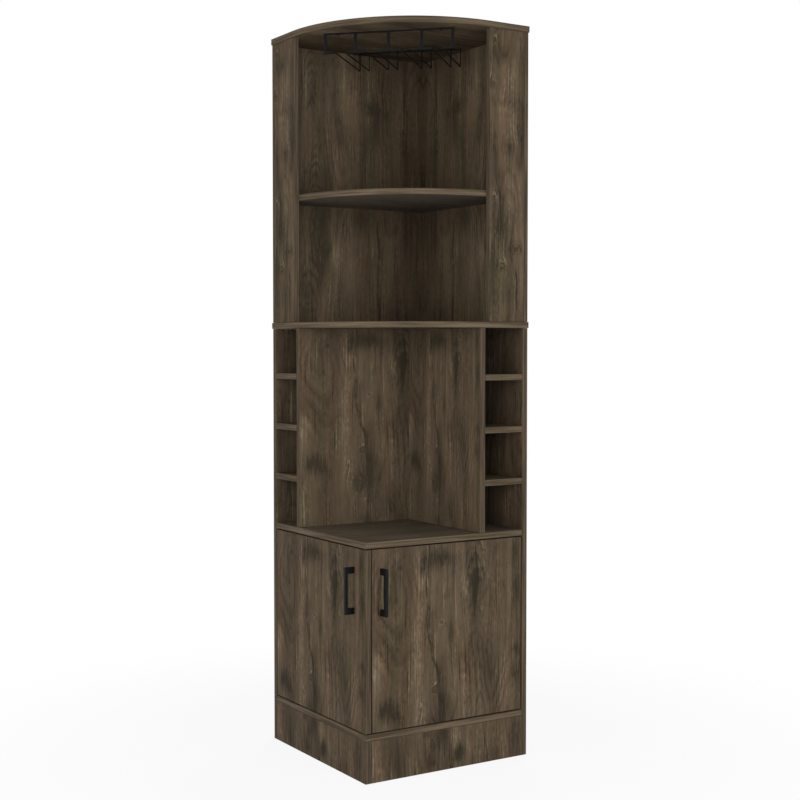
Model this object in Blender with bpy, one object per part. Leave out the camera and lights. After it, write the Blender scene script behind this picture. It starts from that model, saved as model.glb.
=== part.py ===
"""Corner bar cabinet with inset doors, bottle cubbies and a stemware rack.

Lengths are in metres.  Places are measured from the cabinet's front corner on
the floor: x runs along the right front face, y along the left front face and z
goes up.  For either face, "along" is the distance from the front corner along
the face and "back" the distance behind it, so that the left half is the right
half seen in a mirror on the plan's diagonal.
"""
import math

import bmesh
import bpy
from mathutils import Matrix, Vector

# Boards and the square plan
SIDE = 0.465                  # width and depth over the wall panels
BOARD = 0.015                 # boards, doors and shelves
BACK_BOARD = 0.012            # thinner backs of the upper half
OVERHANG = 0.002              # middle and top boards stand proud all round
FRONT_RADIUS = 0.350          # curved front of the middle and top boards
EDGE_EASE = 0.0005            # rounding of the boards' taped edges
JOINT = 0.0003                # gap between pieces that touch

# Heights from the floor up, between the boards
PLINTH_HEIGHT = 0.100
DOOR_BAY = 0.4345
NICHE_BAY = 0.498
UPPER_BAY = 0.7075
UPPER_SHELF_RISE = 0.3035     # middle board to the underside of the upper shelf

# Bottle cubbies beside the niche
CUBBY_WIDTH = 0.112
CUBBY_ROWS = 4

# Doors, the post behind their meeting corner, and its stops
DOOR_GAP = 0.003
DOOR_SKIN = 0.003             # board left in front of the hinge bores
POST_WIDTH = 0.060
STOP_GAP = 0.003              # between the closed doors and the post
STOP_RADIUS = 0.004
STOP_DROP = 0.040             # counter underside to the stops
STOP_INSET = 0.018            # right stop from the post's far edge

# Bar pulls and their screws
HANDLE_REACH = 0.0255
HANDLE_BAR = 0.0075
HANDLE_SPACING = 0.096        # between the two screws
HANDLE_FOOT = 0.015
HANDLE_DROP = 0.100           # top of the door to the middle of the pull
HANDLE_INSET = {"left": 0.054, "right": 0.0245}   # from the door's free edge
HANDLE_EASE = 0.0006
SCREW_RADIUS = 0.0018
SCREW_HEAD_RADIUS = 0.004
SCREW_HEAD = 0.0018
SCREW_GRIP = 0.009            # length of screw inside the foot of the pull

# Cup hinges
HINGE_INSET = 0.080           # from the door's top and bottom edges
CUP_RADIUS = 0.0175
CUP_WALL = 0.0008
CUP_EDGE = 0.005              # board between the cup and the door's edge
CUP_RIM = 0.0020              # flange round the mouth
CUP_FLANGE = 0.0012
CUP_EAR_WIDTH = 0.014
CUP_EAR_REACH = 0.027         # cup centre to the end of each ear
PIN_IN_CUP = 0.0077           # cup's near wall to the pin
PIN_RADIUS = 0.0012
PIN_CLEARANCE = 0.00008       # running fit of the arm's eye on the pin
EYE_CLEARANCE = 0.0005        # between the arm's eye and the bottom of the cup
ARM_WIDTH = 0.011
ARM_THICKNESS = 0.0018
ARM_LENGTH = 0.070            # front face to the arm's far end
ARM_BEND = 0.004              # radius of the arm's bends
NECK_CLEARANCE = 0.0045       # between the arm's neck and the swinging door
NECK_ANGLE = math.radians(66.5)
MOUTH_CLEARANCE = 0.0024
PLATE_THICKNESS = 0.0035
PLATE_SETBACK = 0.036         # front face to the mounting plate
PLATE_LENGTH = 0.032
PLATE_WIDTH = 0.016
PLATE_WING_LENGTH = 0.012
PLATE_WING_REACH = 0.026      # middle of the plate to the end of each wing

# Stemware rack under the top board
RACK_SLOTS = 4
RACK_PITCH = 0.0765           # between two slots of one half
RACK_MIDDLE = 0.0125          # further apart across the middle
RACK_SLOT = 0.025             # between the two wires of a slot
RACK_LENGTH = 0.243
RACK_DROP = 0.048             # top board to the middle of the wires
RACK_CORNER_CLEARANCE = 0.036
RACK_WIRE = 0.0016            # radius of the wires
RACK_BEND = 0.004
RACK_FRAME_THICKNESS = 0.003
RACK_POST = 0.007
RACK_RAIL = 0.0032            # height of the front frame's top rail
RACK_TOE = 0.005              # height of the feet under its posts
TAB_WIDTH = 0.014
TAB_LENGTH = 0.014
TAB_THICKNESS = 0.0014
TAB_INSET = 0.030             # front tabs from the ends of the frame
TAB_HOLE = 0.005              # from the tab's free end
TAB_WELD = 0.0008             # depth the back bar is let into its tab
RACK_SCREW_RADIUS = 0.0015
RACK_SCREW_HEAD_RADIUS = 0.0035
RACK_SCREW_HEAD = 0.0016
RACK_SCREW_LENGTH = 0.009     # into the top board

# Fineness of the round shapes
ARC_STEPS = 32
CUP_SIDES = 32
SMALL_SIDES = 16
BEND_STEPS = 4
WIRE_RESOLUTION = 2
SLACK = 0.002                 # overrun of every cutter
MERGE = 0.00001               # lathe points that meet on the axis

# Levels
BOTTOM_TOP = PLINTH_HEIGHT + BOARD
COUNTER_LOW = BOTTOM_TOP + DOOR_BAY
COUNTER_TOP = COUNTER_LOW + BOARD
MIDDLE_LOW = COUNTER_TOP + NICHE_BAY
MIDDLE_TOP = MIDDLE_LOW + BOARD
SHELF_LOW = MIDDLE_TOP + UPPER_SHELF_RISE
TOP_LOW = MIDDLE_TOP + UPPER_BAY
TOP = TOP_LOW + BOARD
DOOR_LOW = BOTTOM_TOP + DOOR_GAP
DOOR_TOP = COUNTER_LOW - DOOR_GAP
CUBBY_HEIGHT = (NICHE_BAY - (CUBBY_ROWS - 1) * BOARD) / CUBBY_ROWS

# Plan
INNER = SIDE - BOARD                       # inner face of the wall panels
UPPER_INNER = SIDE - BACK_BOARD            # inner face of the upper backs
DIVIDER_OUT = INNER - CUBBY_WIDTH
DIVIDER_IN = DIVIDER_OUT - BOARD
DOOR_START = {"left": 0, "right": BOARD + DOOR_GAP}
DOOR_END = INNER - DOOR_GAP
MIDDLE = (SIDE + OVERHANG - max(HANDLE_REACH, OVERHANG)) / 2

# Hinges, measured in plan
CUP_CENTRE = DOOR_END - CUP_EDGE - CUP_RADIUS
PIN_ALONG = DOOR_END - CUP_EDGE - CUP_WALL - PIN_IN_CUP
PIN_BACK = BOARD / 2
CUP_OUTER = CUP_RADIUS - JOINT
CUP_INNER = CUP_OUTER - CUP_WALL
CUP_BOTTOM = DOOR_SKIN + JOINT
CUP_FLOOR = CUP_BOTTOM + CUP_WALL
CUP_FACE = BOARD + JOINT
EYE_RADIUS = PIN_BACK - CUP_FLOOR - EYE_CLEARANCE
HINGE_LEVELS = {"lower": DOOR_LOW + HINGE_INSET, "upper": DOOR_TOP - HINGE_INSET}
HANDLE_LEVEL = DOOR_TOP - HANDLE_DROP

# Rack, measured across and away from the front corner on the diagonal
RACK_HALF = ((RACK_SLOTS - 1) * RACK_PITCH + RACK_MIDDLE + RACK_SLOT) / 2
RACK_BACK = UPPER_INNER * math.sqrt(2) - RACK_HALF - RACK_CORNER_CLEARANCE
RACK_FRONT = RACK_BACK - RACK_LENGTH
RACK_TOP = TOP_LOW - JOINT
RACK_LEVEL = TOP_LOW - RACK_DROP
RACK_BAR = RACK_FRONT + RACK_FRAME_THICKNESS / 2 + JOINT + RACK_WIRE
RACK_RISER = RACK_BACK - 2 * RACK_WIRE - JOINT
RACK_BACK_LEVEL = RACK_TOP - TAB_THICKNESS - RACK_WIRE + TAB_WELD

# Finishes: colour, roughness, metallic
FINISHES = {
    "wood": ((0.092, 0.071, 0.049), 0.55, 0.0),
    "black_metal": ((0.011, 0.012, 0.013), 0.45, 0.9),
    "steel": ((0.56, 0.56, 0.55), 0.30, 1.0),
    "rubber": ((0.30, 0.29, 0.27), 0.80, 0.0),
}


# Frame of reference
def face_point(side, along, back, up):
    """Point beside one of the two front faces."""
    if side == "right":
        return Vector((along, back, up))
    return Vector((back, along, up))


def diagonal_point(across, away, up):
    """Point across and away on the plan's diagonal from the front corner."""
    root = math.sqrt(2)
    return Vector(((away + across) / root, (away - across) / root, up))


# Objects and finishes
def clear_scene():
    for item in list(bpy.data.objects):
        bpy.data.objects.remove(item, do_unlink=True)


def finish(name, kind):
    """A material of its own for each piece."""
    colour, roughness, metallic = FINISHES[kind]
    look = bpy.data.materials.new(name + "_" + kind)
    look.use_nodes = True
    shader = look.node_tree.nodes["Principled BSDF"]
    shader.inputs["Base Color"].default_value = (*colour, 1.0)
    shader.inputs["Roughness"].default_value = roughness
    shader.inputs["Metallic"].default_value = metallic
    return look


def empty(name, parent, at):
    item = bpy.data.objects.new(name, None)
    bpy.context.collection.objects.link(item)
    item.parent = parent
    item.location = at
    return item


def from_form(name, form, parent, kind):
    """Object from a bmesh drawn in cabinet coordinates, hung on its parent."""
    bmesh.ops.recalc_face_normals(form, faces=form.faces)
    mesh = bpy.data.meshes.new(name)
    form.to_mesh(mesh)
    form.free()
    item = bpy.data.objects.new(name, mesh)
    bpy.context.collection.objects.link(item)
    hang(item, parent)
    if kind is None:
        item.hide_render = True
        item.display_type = "WIRE"
    else:
        mesh.materials.append(finish(name, kind))
    return item


def hang(item, parent):
    """Parent an object whose points are still in cabinet coordinates."""
    item.parent = parent
    if parent.parent is not None:
        item.location = -parent.location


def smooth(item):
    item.data.shade_smooth()
    item.data.set_sharp_from_angle(angle=math.radians(35))


def ease(item, width):
    """Round the sharp edges of a piece a little."""
    bevel = item.modifiers.new("ease", "BEVEL")
    bevel.width = width
    bevel.segments = 2
    bevel.limit_method = "ANGLE"
    bevel.angle_limit = math.radians(40)


def combine(item, tool, operation):
    cut = item.modifiers.new(operation.lower(), "BOOLEAN")
    cut.object = tool
    cut.operation = operation
    cut.solver = "EXACT"


# Solids
def prism(name, outline, span, place, parent, kind):
    """Outline of (a, b) points pushed through span; place maps (a, b, c)."""
    low, high = span
    form = bmesh.new()
    base = form.faces.new([form.verts.new(place(a, b, low)) for a, b in outline])
    pushed = bmesh.ops.extrude_face_region(form, geom=[base])
    moved = [part for part in pushed["geom"] if isinstance(part, bmesh.types.BMVert)]
    bmesh.ops.translate(form, verts=moved, vec=place(0, 0, high) - place(0, 0, low))
    return from_form(name, form, parent, kind)


def rectangle(first, second):
    (a0, a1), (b0, b1) = first, second
    return [(a0, b0), (a1, b0), (a1, b1), (a0, b1)]


def block(name, side, along, back, up, parent, kind):
    """Box beside a front face, from its three spans."""
    outline = rectangle(along, back)
    return prism(name, outline, up, lambda a, b, c: face_point(side, a, b, c), parent, kind)


def board(name, side, along, back, up, parent):
    """Board of the carcass, with eased edges."""
    item = block(name, side, along, back, up, parent, "wood")
    ease(item, EDGE_EASE)
    return item


def bar(name, start, end, radius, sides, parent, kind):
    """Round bar between two points."""
    axis = end - start
    turn = axis.to_track_quat("Z", "Y").to_matrix().to_4x4()
    form = bmesh.new()
    bmesh.ops.create_cone(form, cap_ends=True, segments=sides, radius1=radius, radius2=radius,
                          depth=axis.length, matrix=Matrix.Translation((start + end) / 2) @ turn)
    item = from_form(name, form, parent, kind)
    smooth(item)
    return item


def lathe(name, profile, centre, axis, sides, parent, kind):
    """Turned piece from (radius, height) points that start and end on the axis."""
    form = bmesh.new()
    outward = axis.orthogonal().normalized()
    points = [form.verts.new(centre + outward * radius + axis * height)
              for radius, height in profile]
    edges = [form.edges.new(pair) for pair in zip(points, points[1:])]
    bmesh.ops.spin(form, geom=points + edges, cent=centre, axis=axis,
                   angle=math.tau, steps=sides, use_merge=True)
    bmesh.ops.remove_doubles(form, verts=form.verts, dist=MERGE)
    item = from_form(name, form, parent, kind)
    smooth(item)
    return item


def bent_path(corners, radius):
    """Path through the corners, each turned into an arc of the given radius."""
    points = [corners[0]]
    for before, here, after in zip(corners, corners[1:], corners[2:]):
        into = (here - before).normalized()
        out = (after - here).normalized()
        turn = into.angle(out)
        start = here - into * radius * math.tan(turn / 2)
        centre = here + (out - into).normalized() * radius / math.cos(turn / 2)
        for step in range(BEND_STEPS + 1):
            angle = turn * step / BEND_STEPS
            points.append(centre + (start - centre) * math.cos(angle)
                          + into * radius * math.sin(angle))
    points.append(corners[-1])
    return points


def wire(name, corners, parent):
    """Round wire bent through the corners."""
    path = bent_path(corners, RACK_BEND)
    curve = bpy.data.curves.new(name, "CURVE")
    curve.dimensions = "3D"
    curve.bevel_depth = RACK_WIRE
    curve.bevel_resolution = WIRE_RESOLUTION
    curve.use_fill_caps = True
    spline = curve.splines.new("POLY")
    spline.points.add(len(path) - 1)
    for point, place in zip(spline.points, path):
        point.co = (*place, 1)
    curve.materials.append(finish(name, "black_metal"))
    item = bpy.data.objects.new(name, curve)
    bpy.context.collection.objects.link(item)
    hang(item, parent)
    return item


def curved_board(name, low, high, centre, up, parent):
    """Square board whose front corner is rounded about the given centre."""
    radius = centre - low
    arc = [math.pi + math.pi / 2 * step / ARC_STEPS for step in range(ARC_STEPS + 1)]
    outline = [(centre + radius * math.cos(angle), centre + radius * math.sin(angle))
               for angle in arc]
    outline += [(high, low), (high, high), (low, high)]
    item = prism(name, outline, up, lambda a, b, c: Vector((a, b, c)), parent, "wood")
    ease(item, EDGE_EASE)
    return item


# Lower half
def build_carcass(cabinet):
    """Wall panels, plinth, bottom board and counter."""
    lower = (0, MIDDLE_LOW - JOINT)
    board("left_wall_panel", "left", (INNER, SIDE), (0, SIDE), lower, cabinet)
    board("right_wall_panel", "right", (INNER, SIDE), (0, INNER - JOINT), lower, cabinet)
    plinth = (0, PLINTH_HEIGHT - JOINT)
    inside = INNER - JOINT
    board("left_plinth", "left", (0, inside), (0, BOARD), plinth, cabinet)
    board("right_plinth", "right", (BOARD + JOINT, inside), (0, BOARD), plinth, cabinet)
    for name, low, high in (("bottom_board", PLINTH_HEIGHT, BOTTOM_TOP),
                            ("counter_board", COUNTER_LOW, COUNTER_TOP)):
        board(name, "right", (0, inside), (0, inside), (low, high), cabinet)


def build_niche(cabinet):
    """Dividers round the niche, and the shelves of the bottle cubbies."""
    upright = (COUNTER_TOP + JOINT, MIDDLE_LOW - JOINT)
    depth = {"left": INNER - JOINT, "right": DIVIDER_IN - JOINT}
    for side in ("left", "right"):
        across = (DIVIDER_IN, DIVIDER_OUT)
        board(side + "_divider", side, across, (0, depth[side]), upright, cabinet)
        across = (DIVIDER_OUT + JOINT, INNER - JOINT)
        for row in range(1, CUBBY_ROWS):
            low = COUNTER_TOP + row * CUBBY_HEIGHT + (row - 1) * BOARD
            name = f"{side}_cubby_shelf_{row}"
            board(name, side, across, (0, depth[side]), (low, low + BOARD), cabinet)


def build_post(cabinet):
    """Post that carries the counter's corner and stops both doors."""
    near = BOARD + STOP_GAP
    inside = (BOTTOM_TOP + JOINT, COUNTER_LOW - JOINT)
    board("corner_post", "right", (near, near + POST_WIDTH), (near, near + BOARD), inside, cabinet)
    level = COUNTER_LOW - STOP_DROP
    spots = {"left": near + BOARD / 2, "right": near + POST_WIDTH - STOP_INSET}
    for side, along in spots.items():
        start = face_point(side, along, BOARD + JOINT, level)
        end = face_point(side, along, near - JOINT, level)
        bar(side + "_door_stop", start, end, STOP_RADIUS, SMALL_SIDES, cabinet, "rubber")


# Upper half
def build_upper(cabinet):
    """Middle board, backs, wings, upper shelf and top board."""
    low = -OVERHANG
    high = SIDE + OVERHANG
    curved_board("middle_board", low, high, FRONT_RADIUS, (MIDDLE_LOW, MIDDLE_TOP), cabinet)
    top = curved_board("top_board", low, high, FRONT_RADIUS, (TOP_LOW, TOP), cabinet)
    upright = (MIDDLE_TOP + JOINT, TOP_LOW - JOINT)
    back = (UPPER_INNER, SIDE)
    board("left_back", "left", back, (0, SIDE), upright, cabinet)
    board("right_back", "right", back, (0, UPPER_INNER - JOINT), upright, cabinet)
    for side in ("left", "right"):
        across = (FRONT_RADIUS, UPPER_INNER - JOINT)
        board(side + "_wing", side, across, (0, BOARD), upright, cabinet)
    curved_board("upper_shelf", BOARD + JOINT, UPPER_INNER - JOINT, FRONT_RADIUS,
                 (SHELF_LOW, SHELF_LOW + BOARD), cabinet)
    return top


# Doors
def build_handle(side, axis, door):
    """Square bar pull with two feet, and the screws that hold it."""
    centre = DOOR_START[side] + HANDLE_INSET[side]
    half = HANDLE_SPACING / 2
    outer = half + HANDLE_FOOT / 2
    inner = half - HANDLE_FOOT / 2
    grip = HANDLE_BAR - HANDLE_REACH
    outline = [(-HANDLE_REACH, -outer), (-JOINT, -outer), (-JOINT, -inner), (grip, -inner),
               (grip, inner), (-JOINT, inner), (-JOINT, outer), (-HANDLE_REACH, outer)]
    width = (centre - HANDLE_BAR / 2, centre + HANDLE_BAR / 2)
    handle = prism(side + "_handle", outline, width,
                   lambda a, b, c: face_point(side, c, a, HANDLE_LEVEL + b), axis, "black_metal")
    ease(handle, HANDLE_EASE)
    for end, level in (("lower", HANDLE_LEVEL - half), ("upper", HANDLE_LEVEL + half)):
        name = f"{side}_handle_{end}_screw"
        tip = -SCREW_GRIP
        head = BOARD + JOINT
        profile = [(0, tip), (SCREW_RADIUS, tip), (SCREW_RADIUS, head), (SCREW_HEAD_RADIUS, head),
                   (SCREW_HEAD_RADIUS, head + SCREW_HEAD), (0, head + SCREW_HEAD)]
        way = face_point(side, 0, 1, 0)
        lathe(name, profile, face_point(side, centre, 0, level), way, SMALL_SIDES, axis, "steel")
        start = face_point(side, centre, tip - JOINT, level)
        end_point = face_point(side, centre, head + SLACK, level)
        hole = bar(name + "_hole", start, end_point, SCREW_RADIUS + JOINT, SMALL_SIDES, axis, None)
        combine(handle, hole, "DIFFERENCE")
        combine(door, hole, "DIFFERENCE")


def build_cup(side, end, axis, door):
    """Hinge cup sunk in the door's back, and the pin across it."""
    level = HINGE_LEVELS[end]
    inward = face_point(side, 0, 1, 0)
    centre = face_point(side, CUP_CENTRE, 0, level)
    name = f"{side}_{end}_hinge"
    rim = CUP_OUTER + CUP_RIM
    lip = CUP_FACE + CUP_FLANGE
    profile = [(0, CUP_BOTTOM), (CUP_OUTER, CUP_BOTTOM), (CUP_OUTER, CUP_FACE), (rim, CUP_FACE),
               (rim, lip), (CUP_INNER, lip), (CUP_INNER, CUP_FLOOR), (0, CUP_FLOOR)]
    cup = lathe(name + "_cup", profile, centre, inward, CUP_SIDES, axis, "steel")
    width = (CUP_CENTRE - CUP_EAR_WIDTH / 2, CUP_CENTRE + CUP_EAR_WIDTH / 2)
    for way, label in ((-1, "lower"), (1, "upper")):
        reach = sorted((level + way * (CUP_OUTER + CUP_WALL), level + way * CUP_EAR_REACH))
        ear = block(f"{name}_{label}_ear", side, width, (CUP_FACE, lip), reach, axis, None)
        combine(cup, ear, "UNION")
    offset = CUP_CENTRE - PIN_ALONG
    reach = math.sqrt(CUP_INNER ** 2 - (abs(offset) + PIN_RADIUS) ** 2) - JOINT
    bar(name + "_pin", face_point(side, PIN_ALONG, PIN_BACK, level - reach),
        face_point(side, PIN_ALONG, PIN_BACK, level + reach), PIN_RADIUS, SMALL_SIDES, axis, "steel")
    bore = bar(name + "_bore", centre + inward * DOOR_SKIN, centre + inward * (BOARD + SLACK),
               CUP_RADIUS, CUP_SIDES, axis, None)
    combine(door, bore, "DIFFERENCE")


def ribbon(path, thickness):
    """Outline of a strip of even thickness along a plan path."""
    sides = ([], [])
    for index, point in enumerate(path):
        before = path[max(index - 1, 0)]
        after = path[min(index + 1, len(path) - 1)]
        ahead = (after - before).normalized()
        off = Vector((-ahead.y, ahead.x, 0)) * thickness / 2
        sides[0].append((point + off).to_2d())
        sides[1].append((point - off).to_2d())
    return [tuple(point) for point in sides[0] + sides[1][::-1]]


def build_arm(side, end, cabinet):
    """Cranked hinge arm from the pin to the wall panel, and its mounting plate."""
    level = HINGE_LEVELS[end]
    name = f"{side}_{end}_hinge"
    swing = math.hypot(DOOR_END - PIN_ALONG, PIN_BACK)
    mouth = CUP_FACE + CUP_FLANGE - PIN_BACK + MOUTH_CLEARANCE
    neck = swing + NECK_CLEARANCE
    seat = INNER - JOINT - PLATE_THICKNESS
    line = seat - JOINT - ARM_THICKNESS / 2
    peak = PIN_ALONG - mouth * math.tan(NECK_ANGLE)
    corners = [Vector((PIN_ALONG, PIN_BACK, 0)),
               Vector((peak, PIN_BACK + mouth, 0)),
               Vector((peak, PIN_BACK + neck, 0)),
               Vector((line, PIN_BACK + neck, 0)),
               Vector((line, ARM_LENGTH, 0))]
    width = (level - ARM_WIDTH / 2, level + ARM_WIDTH / 2)
    arm = prism(name + "_arm", ribbon(bent_path(corners, ARM_BEND), ARM_THICKNESS), width,
                lambda a, b, c: face_point(side, a, b, c), cabinet, "steel")
    eye = bar(name + "_eye", face_point(side, PIN_ALONG, PIN_BACK, width[0]),
              face_point(side, PIN_ALONG, PIN_BACK, width[1]), EYE_RADIUS, SMALL_SIDES, cabinet, None)
    hole = bar(name + "_eye_hole", face_point(side, PIN_ALONG, PIN_BACK, width[0] - SLACK),
               face_point(side, PIN_ALONG, PIN_BACK, width[1] + SLACK),
               PIN_RADIUS + PIN_CLEARANCE, SMALL_SIDES, cabinet, None)
    combine(arm, eye, "UNION")
    combine(arm, hole, "DIFFERENCE")
    middle = PLATE_SETBACK + PLATE_LENGTH / 2
    cross = [(PLATE_LENGTH / 2, PLATE_WIDTH / 2), (PLATE_WING_LENGTH / 2, PLATE_WIDTH / 2),
             (PLATE_WING_LENGTH / 2, PLATE_WING_REACH)]
    quarter = cross + [(-a, b) for a, b in cross[::-1]]
    outline = quarter + [(-a, -b) for a, b in quarter]
    prism(name + "_plate", outline, (seat, INNER - JOINT),
          lambda a, b, c: face_point(side, c, middle + a, level + b), cabinet, "steel")


def build_door(side, cabinet):
    """Door with its pull, screws and hinge cups, hung on its own axis."""
    axis = empty(side + "_door_axis", cabinet, face_point(side, PIN_ALONG, PIN_BACK, 0))
    across = (DOOR_START[side], DOOR_END)
    door = board(side + "_door", side, across, (0, BOARD), (DOOR_LOW, DOOR_TOP), axis)
    build_handle(side, axis, door)
    for end in HINGE_LEVELS:
        build_cup(side, end, axis, door)
        build_arm(side, end, cabinet)


# Stemware rack
def rack_slot(index):
    """Place across the diagonal of the middle of a slot."""
    shift = RACK_MIDDLE / 2 if index >= RACK_SLOTS / 2 else -RACK_MIDDLE / 2
    return (index - (RACK_SLOTS - 1) / 2) * RACK_PITCH + shift


def rack_post(index):
    """Place of a post of the front frame, midway between two slots."""
    return (rack_slot(index - 1) + rack_slot(index)) / 2


def rack_toe(index):
    """Span of the foot under a post; it stops at the wires beside the slots."""
    left, right = rack_slot(index - 1) + RACK_SLOT / 2, rack_slot(index) - RACK_SLOT / 2
    if index == 0:
        left = rack_post(index) - RACK_POST / 2
    if index == RACK_SLOTS:
        right = rack_post(index) + RACK_POST / 2
    return left, right


def tab(name, across, root, way, solid, cabinet):
    """Screw tab that points back (1) or forward (-1); returns the place of its hole."""
    low = RACK_TOP - TAB_THICKNESS
    tip = root + way * TAB_LENGTH
    outline = rectangle((across - TAB_WIDTH / 2, across + TAB_WIDTH / 2), (root, tip))
    plate = prism(name, outline, (low, RACK_TOP), diagonal_point, cabinet, None)
    combine(solid, plate, "UNION")
    place = tip - way * TAB_HOLE
    hole = bar(name + "_hole", diagonal_point(across, place, low - SLACK),
               diagonal_point(across, place, RACK_TOP + SLACK), RACK_SCREW_RADIUS + JOINT,
               SMALL_SIDES, cabinet, None)
    combine(solid, hole, "DIFFERENCE")
    return across, place


def rack_screw(name, across, away, top_board, cabinet):
    """Pan-head screw through a tab into the top board."""
    under = RACK_TOP - TAB_THICKNESS - JOINT
    profile = [(0, TOP_LOW + RACK_SCREW_LENGTH), (RACK_SCREW_RADIUS, TOP_LOW + RACK_SCREW_LENGTH),
               (RACK_SCREW_RADIUS, under), (RACK_SCREW_HEAD_RADIUS, under),
               (RACK_SCREW_HEAD_RADIUS, under - RACK_SCREW_HEAD), (0, under - RACK_SCREW_HEAD)]
    centre = diagonal_point(across, away, 0)
    up = Vector((0, 0, 1))
    lathe(name, profile, centre, up, SMALL_SIDES, cabinet, "black_metal")
    pilot = bar(name + "_pilot", centre + up * (TOP_LOW - SLACK),
                centre + up * (TOP_LOW + RACK_SCREW_LENGTH + JOINT), RACK_SCREW_RADIUS + JOINT,
                SMALL_SIDES, cabinet, None)
    combine(top_board, pilot, "DIFFERENCE")


def build_rack_frame(cabinet):
    """Flat front frame: a top rail, posts between the slots and their feet."""
    under = RACK_TOP - RACK_RAIL
    toe_top = RACK_LEVEL + RACK_TOE / 2
    toe_low = RACK_LEVEL - RACK_TOE / 2
    end = rack_post(RACK_SLOTS) + RACK_POST / 2
    outline = [(-end, RACK_TOP), (end, RACK_TOP)]
    for index in range(RACK_SLOTS, -1, -1):
        left, right = rack_toe(index)
        post = (rack_post(index) - RACK_POST / 2, rack_post(index) + RACK_POST / 2)
        if index < RACK_SLOTS:
            outline += [(post[1], under), (post[1], toe_top), (right, toe_top)]
        outline += [(right, toe_low), (left, toe_low)]
        if index > 0:
            outline += [(left, toe_top), (post[0], toe_top), (post[0], under)]
    half = RACK_FRAME_THICKNESS / 2
    frame = prism("rack_front_frame", outline, (RACK_FRONT - half, RACK_FRONT + half),
                  lambda a, b, c: diagonal_point(a, c, b), cabinet, "black_metal")
    return frame


def build_rack_wires(cabinet):
    """Back bar, the loops between the slots and the two end rails."""
    end = RACK_HALF + RACK_WIRE
    back = bar("rack_back_bar", diagonal_point(-end, RACK_BACK, RACK_BACK_LEVEL),
               diagonal_point(end, RACK_BACK, RACK_BACK_LEVEL),
               RACK_WIRE, SMALL_SIDES, cabinet, "black_metal")
    for index in range(RACK_SLOTS + 1):
        left, right = rack_toe(index)
        right_half = [diagonal_point(right, RACK_BAR, RACK_LEVEL),
                      diagonal_point(right, RACK_RISER, RACK_LEVEL),
                      diagonal_point(right, RACK_RISER, RACK_TOP)]
        left_half = [diagonal_point(left, RACK_RISER, RACK_TOP),
                     diagonal_point(left, RACK_RISER, RACK_LEVEL),
                     diagonal_point(left, RACK_BAR, RACK_LEVEL)]
        if index == 0:
            name, corners = "rack_left_rail", [diagonal_point(left, RACK_BAR, RACK_LEVEL)] + right_half
        elif index == RACK_SLOTS:
            name, corners = "rack_right_rail", left_half + [diagonal_point(right, RACK_BAR, RACK_LEVEL)]
        else:
            name, corners = f"rack_loop_{index}", left_half + right_half
        wire(name, corners, cabinet)
    return back


def build_rack(cabinet, top_board):
    frame = build_rack_frame(cabinet)
    back = build_rack_wires(cabinet)
    side = rack_post(RACK_SLOTS) - TAB_INSET
    root = RACK_BACK + 2 * RACK_WIRE
    holes = {"rack_left_screw": tab("left_tab", -side, RACK_FRONT, 1, frame, cabinet),
             "rack_right_screw": tab("right_tab", side, RACK_FRONT, 1, frame, cabinet),
             "rack_back_screw": tab("back_tab", 0, root, -1, back, cabinet)}
    for name, (across, away) in holes.items():
        rack_screw(name, across, away, top_board, cabinet)


def main():
    clear_scene()
    cabinet = empty("cabinet", None, (-MIDDLE, -MIDDLE, 0))
    build_carcass(cabinet)
    build_niche(cabinet)
    build_post(cabinet)
    top_board = build_upper(cabinet)
    for side in ("left", "right"):
        build_door(side, cabinet)
    build_rack(cabinet, top_board)


main()
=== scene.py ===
"""Looks of the corner bar cabinet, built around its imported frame."""
import math

import bmesh
import bpy
from mathutils import Matrix, Vector, noise


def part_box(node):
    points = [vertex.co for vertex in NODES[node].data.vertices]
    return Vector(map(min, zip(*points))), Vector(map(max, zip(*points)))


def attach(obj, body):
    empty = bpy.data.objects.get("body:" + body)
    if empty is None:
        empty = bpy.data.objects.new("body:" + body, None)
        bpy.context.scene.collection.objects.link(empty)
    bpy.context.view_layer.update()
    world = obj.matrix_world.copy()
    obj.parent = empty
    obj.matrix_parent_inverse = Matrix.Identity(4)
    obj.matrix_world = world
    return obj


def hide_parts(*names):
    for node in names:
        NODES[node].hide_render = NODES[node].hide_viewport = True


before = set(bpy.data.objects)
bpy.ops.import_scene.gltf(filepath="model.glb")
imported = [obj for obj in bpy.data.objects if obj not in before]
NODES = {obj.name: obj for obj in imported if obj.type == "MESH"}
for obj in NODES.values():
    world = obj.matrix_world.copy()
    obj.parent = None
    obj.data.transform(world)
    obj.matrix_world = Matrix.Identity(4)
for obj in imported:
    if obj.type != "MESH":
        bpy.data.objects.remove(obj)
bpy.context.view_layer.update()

AXES = "XYZ"

# Place of the cabinet's front corner in the frame.  All lengths are in metres.
CORNER = Vector((-0.22075, -0.22075, 0))

# Rack, with places measured across and away from the front corner on the diagonal
SLOT_MIDDLES = (-0.1210, -0.0445, 0.0445, 0.1210)
SLOT_WIDTH = 0.025
RACK_FRONT = 0.22814
RACK_BACK = 0.47114
RACK_LEVEL = 1.737
RACK_TOP = 1.7847
WIRE_RADIUS = 0.0016
FRONT_WELD_BEHIND = 0.0018
BACK_WELD_BEFORE = 0.0002
BACK_WELD_BELOW = 0.0022
WELD_BEAD = (0.0021, 0.0021, 0.0018)
WELD_LUMPS = 0.22

# Hinge arms, as far as their screws need them
ARM_GAP = 0.0003
ARM_THICKNESS = 0.0018

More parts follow.
